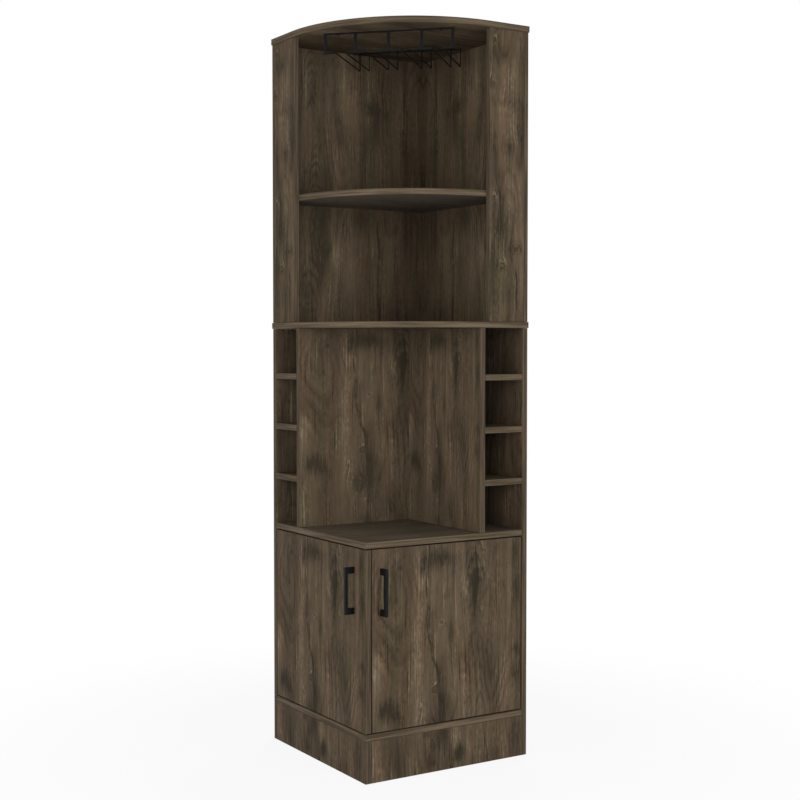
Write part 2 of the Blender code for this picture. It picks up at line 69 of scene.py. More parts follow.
# Screws: radius and height of the head, then radius and length of the shank
EAR_SCREW = (0.0032, 0.0010, 0.0016, 0.0012)
PLATE_SCREW = (0.0036, 0.0014, 0.0018, 0.0030)
ARM_SCREW = (0.0031, 0.0016, 0.0020, 0.0018)
HANDLE_HEAD_HEIGHT = 0.0018
HANDLE_SHANK = 0.0018
RACK_HEAD_HEIGHT = 0.0016
RACK_SHANK = 0.0015

# Screws' distances from the ends of cup and plate, and from the arm's middle
EAR_SCREW_INSET = 0.0045
PLATE_SCREW_INSET = 0.0058
ARM_SCREW_REACH = 0.008

# Cross recess: its reach at the top and at the bottom and half its width, as shares
# of the head's radius, and its top and bottom as shares of the head's height
RECESS_WIDTHS = (0.62, 0.30, 0.10)
RECESS_HEIGHTS = (1.20, 0.25)

# Profiles of domed forms, as shares of their radius and height
HEAD_DOME = ((1.00, 0.00), (1.00, 0.35), (0.95, 0.64), (0.82, 0.86), (0.58, 0.97), (0.00, 1.00))
BUMPER_DOME = ((0.00, 0.00), (1.00, 0.00), (1.00, 0.20), (0.97, 0.42), (0.88, 0.66),
               (0.70, 0.85), (0.42, 0.97), (0.00, 1.00))
HEAD_SIDES = 32
BUMPER_SIDES = 40
SHARP_ANGLE = 34

# Colours of the printed wood, from its darkest smudges to its palest streaks
TAN = (0.0890, 0.0652, 0.0413)
WOOD_TONES = ((0.00, (0.0240, 0.0197, 0.0143)), (0.25, (0.0480, 0.0372, 0.0247)), (0.50, TAN),
              (0.75, (0.1350, 0.1005, 0.0643)), (1.00, (0.2400, 0.1890, 0.1270)))
SMOKE = (0.0300, 0.0260, 0.0172)
# Pale grey that some faces are washed towards: painted light, standing in for light bounced and
# reflected onto them
PAINTED_LIGHT_WASH = (0.1150, 0.1020, 0.0850)

# Casts that multiply the wood's colour in places
ROSY = (1.055, 0.982, 0.960)
OLIVE = (0.974, 1.012, 0.930)
ASHEN = (0.992, 0.992, 1.060)

# Taped edges and the dark line at their rims; two factors darken the tape of the
# upright boards and of the top board
EDGE_DARK = (0.074, 0.054, 0.034)
EDGE_LIGHT = (0.163, 0.124, 0.082)
RIM = (0.050, 0.040, 0.028)
UPRIGHT_EDGE = 0.76
TOP_EDGE = 0.92

# The dividers show the doors' print a little smaller
DIVIDER_PRINT = 0.89

# Powder coat, nickel plate and rubber, each from its darker to its lighter colour
COAT_DARK = (0.0078, 0.0082, 0.0084)
COAT_LIGHT = (0.0130, 0.0136, 0.0140)
NICKEL_DARK = (0.50, 0.49, 0.47)
NICKEL_LIGHT = (0.60, 0.60, 0.59)
RUBBER_DARK = (0.24, 0.23, 0.21)
RUBBER_LIGHT = (0.34, 0.33, 0.31)

# Camera as solved from the photograph, with its angles in degrees
CAMERA_PLACE = (-1.87805, -3.02125, 1.0182)
CAMERA_DOWN = 2.18
CAMERA_RIGHT = 32.02
CAMERA_LENS = 63.75
CAMERA_SENSOR = 36
CAMERA_REACH = 60

# Lamps with their places, sizes and watts; all aim at the middle of the cabinet
LAMPS = (("front_lamp", (-2.6, -2.9, 1.3), 2.4, 45), ("right_lamp", (0.4, -3.6, 1.3), 2.0, 50),
         ("left_lamp", (-3.6, -0.2, 1.3), 2.0, 34), ("back_lamp", (2.8, 2.6, 2.2), 2.4, 60))
LAMP_AIM = (0, 0, 0.9)
WORLD_LEVEL = 0.26
FLOOR_REACH = 12.0
FLOOR_LEVEL = -0.0005
FLOOR_DARK = (0.86, 0.86, 0.86)
FLOOR_LIGHT = (0.90, 0.90, 0.90)
WHITE = (1.0, 1.0, 1.0)

# Colour sockets of a mix node
MIX_FIRST = 6
MIX_SECOND = 7
MIX_RESULT = 2


# Sums written as node trees
class Value:
    """A number or vector in a node tree that can be used in sums."""

    def __init__(self, net, socket):
        self.net = net
        self.socket = socket

    def __add__(self, other):
        return self.net.math("ADD", self, other)

    def __radd__(self, other):
        return self.net.math("ADD", other, self)

    def __sub__(self, other):
        return self.net.math("SUBTRACT", self, other)

    def __rsub__(self, other):
        return self.net.math("SUBTRACT", other, self)

    def __mul__(self, other):
        return self.net.math("MULTIPLY", self, other)

    def __truediv__(self, other):
        return self.net.math("DIVIDE", self, other)


class Net:
    """Writes the nodes of one tree."""

    def __init__(self, tree):
        self.tree = tree

    def node(self, kind, **settings):
        node = self.tree.nodes.new(kind)
        for name, value in settings.items():
            setattr(node, name, value)
        return node

    def put(self, socket, value):
        """Give a socket a number, a colour or another node's value."""
        if isinstance(value, Value):
            self.tree.links.new(value.socket, socket)
        elif isinstance(value, tuple) and socket.type == "RGBA":
            socket.default_value = (*value, 1)
        else:
            socket.default_value = value

    def math(self, operation, *values):
        node = self.node("ShaderNodeMath", operation=operation)
        for socket, value in zip(node.inputs, values):
            self.put(socket, value)
        return Value(self, node.outputs[0])

    def vector_math(self, operation, *values):
        node = self.node("ShaderNodeVectorMath", operation=operation)
        for socket, value in zip(node.inputs, values):
            self.put(socket, value)
        return Value(self, node.outputs["Value" if operation == "DOT_PRODUCT" else "Vector"])

    def vector(self, x=0, y=0, z=0):
        node = self.node("ShaderNodeCombineXYZ")
        for socket, value in zip(node.inputs, (x, y, z)):
            self.put(socket, value)
        return Value(self, node.outputs[0])

    def parts(self, value):
        node = self.node("ShaderNodeSeparateXYZ")
        self.put(node.inputs[0], value)
        return [Value(self, socket) for socket in node.outputs]

    def coordinates(self, kind):
        return Value(self, self.node("ShaderNodeTexCoord").outputs[kind])

    def noise(self, place, detail=2.0, roughness=0.5, distortion=0.0):
        """Noise of about one lump per unit of place, from 0 to 1."""
        node = self.node("ShaderNodeTexNoise", noise_dimensions="3D")
        self.put(node.inputs["Vector"], place)
        self.put(node.inputs["Scale"], 1.0)
        self.put(node.inputs["Detail"], detail)
        self.put(node.inputs["Roughness"], roughness)
        self.put(node.inputs["Distortion"], distortion)
        return Value(self, node.outputs["Fac"])

    def even_noise(self, scale, detail):
        """Noise over an object, with scale lumps a metre every way."""
        x, y, z = self.parts(self.coordinates("Object"))
        return self.noise(self.vector(x * scale, y * scale, z * scale), detail=detail)

    def step(self, value, low, high, start=0.0, end=1.0):
        """Smooth step from start to end as value goes from low to high."""
        node = self.node("ShaderNodeMapRange", interpolation_type="SMOOTHSTEP")
        for name, number in (("Value", value), ("From Min", low), ("From Max", high),
                             ("To Min", start), ("To Max", end)):
            self.put(node.inputs[name], number)
        return Value(self, node.outputs["Result"])

    def mix(self, factor, first, second, blend="MIX"):
        node = self.node("ShaderNodeMix", data_type="RGBA", blend_type=blend)
        self.put(node.inputs[0], factor)
        self.put(node.inputs[MIX_FIRST], first)
        self.put(node.inputs[MIX_SECOND], second)
        return Value(self, node.outputs[MIX_RESULT])

    def ramp(self, value, stops):
        """Colour that follows value through stops of place and colour."""
        node = self.node("ShaderNodeValToRGB")
        self.put(node.inputs[0], value)
        band = node.color_ramp.elements
        while len(band) < len(stops):
            band.new(1.0)
        for element, (place, colour) in zip(band, stops):
            element.position = place
            element.color = (*colour, 1)
        return Value(self, node.outputs[0])

    def line(self, value, width):
        """Soft line where value is zero, width wide to each side."""
        share = value / width
        return self.math("EXPONENT", share * share * -1.0)

    def away(self, place, middle, size):
        """Place as seen from middle, with size as its unit across and along."""
        apart = self.vector_math("SUBTRACT", place, (*middle, 0))
        return self.vector_math("MULTIPLY", apart, (1 / size[0], 1 / size[1], 0))

    def spot(self, place, middle, size):
        """Soft spot at middle, from 1 there to 0 outside size."""
        away = self.away(place, middle, size)
        return self.math("EXPONENT", self.vector_math("DOT_PRODUCT", away, away) * -1.0)


def new_material(name):
    """Empty material, and what writes its nodes."""
    material = bpy.data.materials.new(name)
    material.use_nodes = True
    material.node_tree.nodes.clear()
    return material, Net(material.node_tree)


def shade(net, colour, roughness, height, depth, metallic=0.0, specular=0.5):
    """Principled shader with a bump of the given depth in metres."""
    shader = net.node("ShaderNodeBsdfPrincipled")
    net.put(shader.inputs["Base Color"], colour)
    net.put(shader.inputs["Roughness"], roughness)
    net.put(shader.inputs["Metallic"], metallic)
    net.put(shader.inputs["Specular IOR Level"], specular)
    bump = net.node("ShaderNodeBump")
    net.put(bump.inputs["Height"], height)
    net.put(bump.inputs["Distance"], depth)
    net.put(bump.inputs["Strength"], 1.0)
    net.put(shader.inputs["Normal"], Value(net, bump.outputs[0]))
    output = net.node("ShaderNodeOutputMaterial")
    net.tree.links.new(shader.outputs[0], output.inputs["Surface"])


def scaled(colour, factor):
    return tuple(part * factor for part in colour)


def paint(item, material):
    """Give an object one material on all its slots."""
    if not item.material_slots:
        item.data.materials.append(material)
    for place in item.material_slots:
        place.material = material


# Printed wood.  A mark is its kind, its middle, its size and its strength, and a
# crack its points down the grain, its width and its strength.  Places are metres
# from a board's top left corner as its face is seen, across the grain first; p and
# t below are the places across and along the grain.
DOOR_PRINT = (
    ("eye", (0.289, 0.090), (0.026, 0.070), 0.84),
    ("crack", ((0.157, 0.000), (0.150, 0.095), (0.152, 0.190), (0.162, 0.255), (0.181, 0.318),
               (0.187, 0.420), (0.186, 0.560)), 0.0070, 1.25),
    ("crack", ((0.166, 0.000), (0.158, 0.110), (0.161, 0.200), (0.170, 0.262), (0.190, 0.335),
               (0.192, 0.420), (0.194, 0.560)), 0.0180, 0.32),
    ("smoke", (0.190, 0.040), (0.036, 0.020), 0.95),
    ("smoke", (0.142, 0.042), (0.010, 0.026), 0.85),
    ("smoke", (0.037, 0.382), (0.026, 0.022), 1.00),
    ("smoke", (0.066, 0.402), (0.022, 0.012), 0.60),
    ("smoke", (0.022, 0.225), (0.022, 0.030), 0.30),
    ("smoke", (0.078, 0.070), (0.034, 0.046), 0.34),
    ("smoke", (0.190, 0.428), (0.024, 0.034), 0.75),
    ("smoke", (0.221, 0.215), (0.009, 0.036), 0.75),
    ("smoke", (0.204, 0.128), (0.012, 0.018), 0.55),
    ("smoke", (0.411, 0.032), (0.012, 0.034), 0.90),
    ("smoke", (0.412, 0.125), (0.012, 0.044), 0.95),
    ("smoke", (0.418, 0.280), (0.012, 0.016), 0.85),
    ("smoke", (0.412, 0.342), (0.015, 0.020), 0.70),
    ("smoke", (0.310, 0.265), (0.022, 0.030), 0.22),
    ("smoke", (0.352, 0.060), (0.014, 0.040), 0.24),
    ("smoke", (0.252, 0.515), (0.020, 0.026), 0.60),
    ("smoke", (0.180, 0.548), (0.022, 0.016), 0.50),
    ("smoke", (0.085, 0.520), (0.034, 0.040), 0.28),
    ("glow", (0.012, 0.285), (0.020, 0.046), 0.80),
    ("glow", (0.116, 0.318), (0.024, 0.070), 0.70),
    ("glow", (0.116, 0.160), (0.006, 0.060), 0.30),
    ("glow", (0.261, 0.088), (0.011, 0.034), 0.80),
    ("glow", (0.240, 0.024), (0.030, 0.022), 0.40),
    ("glow", (0.169, 0.112), (0.006, 0.056), 0.60),
    ("glow", (0.270, 0.180), (0.024, 0.090), 0.42),
    ("glow", (0.372, 0.290), (0.016, 0.110), 0.34),
    ("glow", (0.390, 0.170), (0.010, 0.080), 0.34),
    ("glow", (0.230, 0.320), (0.018, 0.080), 0.30),
    ("glow", (0.020, 0.500), (0.024, 0.070), 0.45),
    ("glow", (0.130, 0.420), (0.020, 0.060), 0.42),
    ("arch", (0.292, -0.110), (0.050, 0.330), 0.34),
    ("arch", (0.306, 0.220), (0.030, 0.260), 0.30),
    ("arch", (0.385, 0.020), (0.030, 0.090), 0.22),
    ("arrow", (0.0650, 0.1200), (0.0065, 0.0110), 0.60),
    ("arrow", (0.0655, 0.1500), (0.0060, 0.0100), 0.50),
    ("arrow", (0.0670, 0.1840), (0.0070, 0.0090), 0.60),
    ("arrow", (0.0710, 0.2360), (0.0065, 0.0080), 0.90),
    ("arrow", (0.2050, 0.1900), (0.0110, 0.0090), 0.50),
    ("knot", (0.0760, 0.0480), (0.0040, 0.0040), 0.55),
    ("knot", (0.1450, 0.4320), (0.0190, 0.0160), 0.50),
    ("knot", (0.1620, 0.4520), (0.0120, 0.0120), 0.50),
    ("curl", (0.1730, 0.3420), (0.0050, 0.0200), 0.85),
    ("curl", (0.1370, 0.3880), (0.0045, 0.0150), 0.70),
    ("curl", (0.1950, 0.1900), (0.0060, 0.0110), 0.60),
    ("curl", (0.3080, 0.1620), (0.0090, 0.0130), 0.50),
    ("curl", (0.1820, 0.4850), (0.0050, 0.0140), 0.60),
    ("curl", (0.3210, 0.0200), (0.0080, 0.0140), 0.60),
)
WING_PRINT = (
    ("smoke", (0.040, 0.060), (0.050, 0.034), 0.55),
    ("smoke", (0.050, 0.182), (0.060, 0.016), 0.55),
    ("knot", (0.0120, 0.1300), (0.0150, 0.0110), 0.60),
    ("crack", ((0.012, 0.250), (0.017, 0.350), (0.030, 0.420), (0.026, 0.500)), 0.0080, 0.70),
    ("smoke", (0.026, 0.470), (0.014, 0.044), 0.80),
    ("smoke", (0.064, 0.290), (0.014, 0.036), 0.18),
    ("knot", (0.0600, 0.2830), (0.0120, 0.0110), 0.34),
    ("knot", (0.0790, 0.5320), (0.0140, 0.0120), 0.85),
    ("knot", (0.0350, 0.5760), (0.0120, 0.0090), 0.50),
    ("smoke", (0.012, 0.560), (0.018, 0.050), 0.55),
    ("crack", ((0.078, 0.585), (0.080, 0.620), (0.079, 0.650), (0.082, 0.685)), 0.0042, 1.50),
    ("smoke", (0.060, 0.630), (0.036, 0.040), 0.38),
    ("smoke", (0.100, 0.290), (0.010, 0.300), 0.34),
    ("curl", (0.0140, 0.0250), (0.0060, 0.0150), 0.80),
    ("curl", (0.0150, 0.4000), (0.0060, 0.0200), 0.80),
    ("curl", (0.0210, 0.4900), (0.0060, 0.0120), 0.70),
    ("curl", (0.0420, 0.5600), (0.0080, 0.0120), 0.65),
    ("glow", (0.096, 0.120), (0.022, 0.120), 0.22),
    ("glow", (0.060, 0.220), (0.026, 0.050), 0.18),
    ("glow", (0.055, 0.420), (0.014, 0.060), 0.50),
    ("glow", (0.092, 0.430), (0.014, 0.120), 0.60),
    ("glow", (0.030, 0.225), (0.016, 0.050), 0.20),
)
BACK_PRINT = (
    ("arch", (0.120, 0.240), (0.034, 0.170), 0.56),
    ("arch", (0.104, -0.060), (0.034, 0.200), 0.46),
    ("arrow", (0.1070, 0.1180), (0.0200, 0.0260), 0.75),
    ("smoke", (0.108, 0.120), (0.012, 0.030), 0.45),
    ("knot", (0.2860, 0.1360), (0.0170, 0.0130), 1.05),
    ("smoke", (0.335, 0.146), (0.036, 0.012), 0.40),
    ("smoke", (0.290, 0.215), (0.050, 0.060), 0.34),
    ("eye", (0.139, 0.470), (0.024, 0.080), 0.85),
    ("smoke", (0.132, 0.570), (0.020, 0.060), 0.65),
    ("knot", (0.1540, 0.5150), (0.0100, 0.0140), 0.60),
    ("crack", ((0.306, 0.440), (0.309, 0.520), (0.305, 0.600), (0.310, 0.720)), 0.0085, 1.00),
    ("smoke", (0.264, 0.440), (0.034, 0.030), 0.50),
    ("smoke", (0.250, 0.640), (0.012, 0.080), 0.35),
    ("arch", (0.100, 0.420), (0.050, 0.330), 0.34),
    ("smoke", (0.420, 0.400), (0.036, 0.300), 0.30),
    ("glow", (0.180, 0.530), (0.019, 0.042), 0.75),
    ("glow", (0.197, 0.110), (0.016, 0.100), 0.56),
    ("glow", (0.190, 0.330), (0.016, 0.060), 0.48),
    ("glow", (0.283, 0.060), (0.010, 0.080), 0.40),
    ("glow", (0.346, 0.540), (0.014, 0.080), 0.34),
    ("curl", (0.2840, 0.1720), (0.0060, 0.0110), 0.60),
    ("curl", (0.0850, 0.6600), (0.0060, 0.0200), 0.40),
)
PLINTH_PRINT = (
    ("smoke", (0.194, 0.014), (0.022, 0.026), 0.95),
    ("smoke", (0.248, 0.064), (0.015, 0.018), 0.90),
    ("smoke", (0.165, 0.070), (0.022, 0.030), 0.40),
    ("smoke", (0.060, 0.060), (0.034, 0.060), 0.42),
    ("smoke", (0.415, 0.050), (0.020, 0.050), 0.40),
    ("smoke", (0.345, 0.086), (0.034, 0.016), 0.34),
    ("knot", (0.1550, 0.0060), (0.0090, 0.0080), 0.75),
    ("knot", (0.1730, 0.0330), (0.0070, 0.0110), 0.60),
    ("knot", (0.1730, 0.0780), (0.0060, 0.0060), 0.70),
    ("knot", (0.2460, 0.0700), (0.0120, 0.0130), 0.65),
    ("curl", (0.1710, 0.0250), (0.0050, 0.0120), 0.60),
    ("crack", ((0.318, 0.000), (0.321, 0.040), (0.329, 0.080), (0.331, 0.120)), 0.0040, 1.00),
    ("crack", ((0.073, 0.020), (0.074, 0.050), (0.072, 0.080), (0.071, 0.120)), 0.0040, 0.80),
    ("glow", (0.008, 0.030), (0.014, 0.050), 0.35),
    ("glow", (0.118, 0.060), (0.018, 0.060), 0.50),
    ("glow", (0.240, 0.020), (0.020, 0.026), 0.60),
    ("glow", (0.276, 0.060), (0.016, 0.050), 0.50),
    ("glow", (0.380, 0.040), (0.018, 0.060), 0.30),
)
PLAIN_PRINT = (
    ("eye", (0.110, 0.200), (0.026, 0.060), 0.65),
    ("smoke", (0.300, 0.120), (0.040, 0.034), 0.50),
    ("smoke", (0.210, 0.330), (0.020, 0.060), 0.45),
    ("smoke", (0.380, 0.400), (0.030, 0.050), 0.50),
    ("crack", ((0.260, 0.000), (0.255, 0.150), (0.266, 0.300), (0.262, 0.480)), 0.0050, 0.55),
    ("knot", (0.0600, 0.4000), (0.0150, 0.0130), 0.60),
    ("knot", (0.3400, 0.2600), (0.0120, 0.0110), 0.60),
    ("arch", (0.320, 0.160), (0.044, 0.260), 0.30),
    ("glow", (0.180, 0.120), (0.016, 0.080), 0.60),
    ("glow", (0.060, 0.080), (0.020, 0.060), 0.50),
    ("glow", (0.310, 0.380), (0.018, 0.080), 0.50),
    ("curl", (0.2100, 0.2200), (0.0060, 0.0160), 0.60),
)


def grown(size, across, along):
    """Size times a factor across and a factor along the grain."""
    return size[0] * across, size[1] * along


def draw_mark(net, place, calm, worn, kind, spot, size, strength):
    """One mark of the print: its bend of the grain, its darkness and its light.

    An eye is a dark spot that the grain flows round, smoke is a plain dark spot and
    glow a pale one.  An arrow is two nested angles, a knot has rings, a curl is a
    small scribble, and an arch is a row of nested year lines.
    """
    p, t, _ = net.parts(calm)
    if kind == "eye":
        bend = (net.parts(place)[0] - spot[0]) * net.spot(place, spot, grown(size, 1.9, 1.9))
        return bend * -0.72, net.spot(worn, spot, size) * strength, None
    if kind == "smoke":
        return None, net.spot(worn, spot, size) * strength, None
    if kind == "glow":
        return None, None, net.spot(worn, spot, size) * strength
    if kind == "arrow":
        lean = net.math("ABSOLUTE", p - spot[0]) * 2.0 - (t - spot[1])
        edge = net.line(lean, 0.0022) + net.line(lean + 0.008, 0.0018) * 0.7
        room = net.spot(place, spot, grown(size, 1.3, 1.3))
        return None, edge * room * strength * 2.2, None
    if kind == "knot":
        away = net.away(calm, spot, size)
        lumps = net.noise(net.vector(p * 130.0, t * 80.0, spot[0]), detail=2.5) - 0.5
        radius = net.math("SQRT", net.vector_math("DOT_PRODUCT", away, away)) + lumps * 2.1
        rings = net.line(radius, 0.80) + net.line(radius - 1.05, 0.16) * 0.45
        rings = rings + net.line(radius - 1.55, 0.20) * 0.25
        bend = (net.parts(place)[0] - spot[0]) * net.spot(place, spot, grown(size, 1.8, 2.4))
        return bend * -0.6, rings * strength, net.line(radius - 0.60, 0.16) * strength * 0.6
    if kind == "curl":
        wave = net.noise(net.vector(p * 150.0, t * 62.0, spot[1] * 90.0), detail=1.0)
        room = net.spot(place, spot, grown(size, 1.6, 1.0))
        dark = net.line(wave - 0.43, 0.030) * room * strength
        return None, dark, net.line(wave - 0.55, 0.034) * room * strength * 2.4
    if kind == "arch":
        away = (p - spot[0]) / size[0]
        level = (t - spot[1]) / size[1] - away * away * 0.55
        middle = (spot[0], spot[1] + size[1] * 0.5)
        room = net.spot(place, middle, grown(size, 1.1, 0.62))
        fade = net.noise(net.vector(p * 20.0, t * 14.0, spot[0] * 50.0), detail=1.0) * 2.4 - 0.5
        uneven = net.noise(net.vector(p * 60.0, t * 14.0, spot[1] * 50.0), detail=2.0) * 8.0
        rings = net.math("SINE", level * 46.0 + fade * 2.0 + uneven)
        pale = net.step(rings, -0.5, -1.0) * fade * room * strength * 0.6
        return None, net.step(rings, 0.40, 1.0) * fade * room * strength * 1.25, pale
    raise ValueError(kind)


def draw_crack(net, calm, points, width, strength):
    """Dark line down the grain through its points, sharp on its left side."""
    p, t, _ = net.parts(calm)
    (path, start), end = points[0], points[-1][1]
    for (before, above), (after, below) in zip(points, points[1:]):
        path = path + net.step(t, above, below, 0.0, after - before)
    swell = net.noise(net.vector(start + width, t * 16.0, path), detail=2.0) * 2.4 - 0.5
    room = net.step(t, start - 0.02, start + 0.01) * net.step(t, end + 0.02, end - 0.02)
    fibres = net.noise(net.vector(p * 420.0, t * 26.0, start + width), detail=2.0)
    side = p - path + (fibres - 0.5) * width * 0.8
    torn = net.step(fibres, 0.30, 0.62, 0.35, 1.25)
    return net.step(side, width * -0.30, 0.0) * net.line(side, width) * swell * torn * room * strength


def print_group(name, marks, seed):
    """Group that draws a board's print at a place, which is a vector of metres."""
    tree = bpy.data.node_groups.new(name, "ShaderNodeTree")
    tree.interface.new_socket("Place", in_out="INPUT", socket_type="NodeSocketVector")
    for label, kind in (("Color", "NodeSocketColor"), ("Roughness", "NodeSocketFloat"),
                        ("Height", "NodeSocketFloat")):
        tree.interface.new_socket(label, in_out="OUTPUT", socket_type=kind)
    net = Net(tree)
    place = Value(net, net.node("NodeGroupInput").outputs["Place"])
    p, t, _ = net.parts(place)

    def field(side, wide, long, level, detail=1.0, **more):
        """Noise with wide lumps a metre across the grain and long ones along it."""
        return net.noise(net.vector(side * wide, t * long, seed + level), detail=detail, **more)

    # The marks are ragged along the fibres and wander a little
    sway = field(p, 5.0, 2.4, 3.1, detail=1.5) - 0.5
    ripple = field(p, 30.0, 12.0, 7.7, detail=1.5) - 0.5
    fray = field(p, 340.0, 8.0, 9.3) - 0.5
    drift = field(p, 12.0, 9.0, 12.7, detail=2.0) - 0.5
    calm = net.vector(p + ripple * 0.010, t + drift * 0.012)
    worn = net.vector(p + ripple * 0.012, t + fray * 0.050 + drift * 0.040)
    bend, dark, light = sway * 0.028 + ripple * 0.0035, 0.0, 0.0
    for mark in marks:
        if mark[0] == "crack":
            dark = dark + draw_crack(net, calm, *mark[1:])
            continue
        curve, gloom, gleam = draw_mark(net, place, calm, worn, *mark)
        bend = bend if curve is None else bend + curve
        dark = dark if gloom is None else dark + gloom
        light = light if gleam is None else light + gleam
    across = p + bend
    # Broad tones, lanes, streaks, fine lines and pores
    clouds = field(p * 17.0 + sway * 3.0, 1.0, 5.0, 11.0, detail=3.0) - 0.5
    broad = field(p, 5.0, 3.0, 15.0) - 0.5
    lane = field(across, 26.0, 1.1, 17.0)
    streaks = field(across, 75.0, 2.2, 19.0, detail=2.0) - 0.5
    lines = field(across, 240.0, 3.4, 23.0, detail=2.0, roughness=0.6) - 0.5
    fleck = field(across, 120.0, 30.0, 27.0, detail=2.0) - 0.5
    pores = field(across, 760.0, 22.0, 29.0)
    stroke = field(across, 280.0, 5.0, 37.0, detail=1.5)
    scratch = net.step(stroke, 0.58, 0.68) * -0.24 + net.step(stroke, 0.40, 0.30) * 0.20
    dashes = field(across, 190.0, 75.0, 41.0, detail=1.5) - 0.5
    # Year lines that flow in long nested loops, stronger in some places than in others
    growth = field(across, 8.5, 1.7, 45.0, distortion=0.15)
    rings = net.math("SINE", growth * 120.0 + lines * 2.2 + dashes * 1.6)
    room = net.step(field(p, 9.0, 4.0, 51.0, detail=1.5), 0.42, 0.64)
    figure = net.step(rings, 0.30, 0.95) * -0.12 * room + net.step(rings, -0.6, -1.0) * 0.06 * room
    # The fine grain is strong in busy places and faint in calm ones
    busy = net.step(field(p, 24.0, 7.0, 57.0, detail=2.0), 0.36, 0.64)
    fine = (lines * 0.46 + dashes * 0.42 + scratch) * (0.30 + busy * 1.05)
    grain = streaks * 0.24 + fleck * 0.25 + fine + figure
    lanes = (lane - 0.5) * 0.30 + net.step(lane, 0.47, 0.53) * 0.06 - 0.03
    tone = 0.545 + clouds * 0.68 + broad * 0.30 + lanes + grain + light * 0.32
    tone = tone - net.math("MAXIMUM", dark, 0.0) * 0.10
    # Smudges follow the grain and the broad tones, and the darkest stay ragged
    murk = dark * (1.0 + grain * -2.0) + (clouds + broad) * -0.55 - 0.08
    murk = net.math("MINIMUM", net.math("MAXIMUM", murk, 0.0), 0.76 - grain * 0.7)
    colour = net.mix(murk, net.ramp(tone, WOOD_TONES), SMOKE)
    hue = field(across, 30.0, 2.4, 33.0, detail=2.0)
    colour = net.mix(net.step(hue, 0.50, 0.62), colour, ROSY, blend="MULTIPLY")
    colour = net.mix(net.step(hue, 0.48, 0.36), colour, OLIVE, blend="MULTIPLY")
    ash = field(across, 90.0, 9.0, 61.0, detail=2.0)
    colour = net.mix(net.step(ash, 0.50, 0.62), colour, ASHEN, blend="MULTIPLY")
    pit = net.step(pores, 0.60, 0.80)
    outputs = net.node("NodeGroupOutput").inputs
    net.put(outputs["Color"], net.mix(pit * 0.20, colour, SMOKE))
    net.put(outputs["Roughness"], 0.52 + lines * 0.20 + pit * 0.08 + murk * 0.05)
    net.put(outputs["Height"], lines * 0.6 - pit * 0.5 + streaks * 0.4)
    return tree


PRINTS = {"door": print_group("door_print", DOOR_PRINT, 0.0),
          "wing": print_group("wing_print", WING_PRINT, 40.0),
          "back": print_group("back_print", BACK_PRINT, 80.0),
          "plinth": print_group("plinth_print", PLINTH_PRINT, 120.0),
          "plain": print_group("plain_print", PLAIN_PRINT, 160.0)}


def edge_tape(net, level, half, along, edge, shift):
    """Colour of a taped edge and its bands; level is the place in the thickness."""
    bands = net.noise(net.vector(level * 230.0, along * 6.0, shift[0] * 9 + shift[1]), detail=2.5)
    fibres = net.noise(net.vector(level * 900.0, along * 22.0, shift[0]), detail=1.0)
    mottle = net.step(bands * 0.75 + fibres * 0.25, 0.36, 0.64)
    tape = net.mix(mottle, scaled(EDGE_DARK, edge), scaled(EDGE_LIGHT, edge))
    rim = net.step(net.math("ABSOLUTE", level), half - 0.0022, half - 0.0004)
    return net.mix(rim * 0.55, tape, RIM), bands


def wood(name, across, grain, thick, motif, stretch=(1.0, 1.0), shift=(0.0, 0.0), curved=False,
         edge=1.0, painted_wash=0.0, wash_colour=PAINTED_LIGHT_WASH):
    """Material of one board; across, grain and thick are its axes in the frame.

    The print of the motif runs from the board's top left corner, stretched across
    and along the grain, and shift moves the board over it.  The tape of a curved
    board follows its front.  edge is how light the tape is.  The last two arguments
    give painted light: how far the faces turn to a colour, a painted wash of
    reflected light that pales and flattens the print.
    """
    material, net = new_material(name)
    low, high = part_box(name)
    place = net.parts(net.coordinates("Object"))
    facing = net.parts(net.coordinates("Normal"))
    aside, rise, deep = (AXES.index(axis) for axis in (across, grain, thick))
    left, way = (low[aside], 1) if across == "X" else (high[aside], -1)
    p = (place[aside] - left) * (way / stretch[0]) + shift[0]
    t = (high[rise] - place[rise]) / stretch[1] + shift[1]
    group = net.node("ShaderNodeGroup", node_tree=PRINTS[motif])
    net.put(group.inputs["Place"], net.vector(p, t))
    if curved:
        along = (place[0] - place[1]) * 0.8
    else:
        along = t + (p - t) * net.step(net.math("ABSOLUTE", facing[rise]), 0.5, 0.9)
    level = place[deep] - (low[deep] + high[deep]) / 2
    tape, bands = edge_tape(net, level, (high - low)[deep] / 2, along, edge, shift)
    face = net.step(net.math("ABSOLUTE", facing[deep]), 0.55, 0.85)
    # Painted light: the print turned towards the wash colour, standing in for reflected light
    washed_print = net.mix(painted_wash, Value(net, group.outputs["Color"]), wash_colour)
    roughness = 0.5 + (Value(net, group.outputs["Roughness"]) - 0.5) * face
    height = Value(net, group.outputs["Height"]) * face + bands * (1.0 - face) * 0.4
    shade(net, net.mix(face, tape, washed_print), roughness, height, 0.00012, specular=0.02)
    paint(NODES[name], material)


def extent(name, axis):
    """Size of a CAD node along an axis."""
    low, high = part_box(name)
    return (high - low)[AXES.index(axis)]


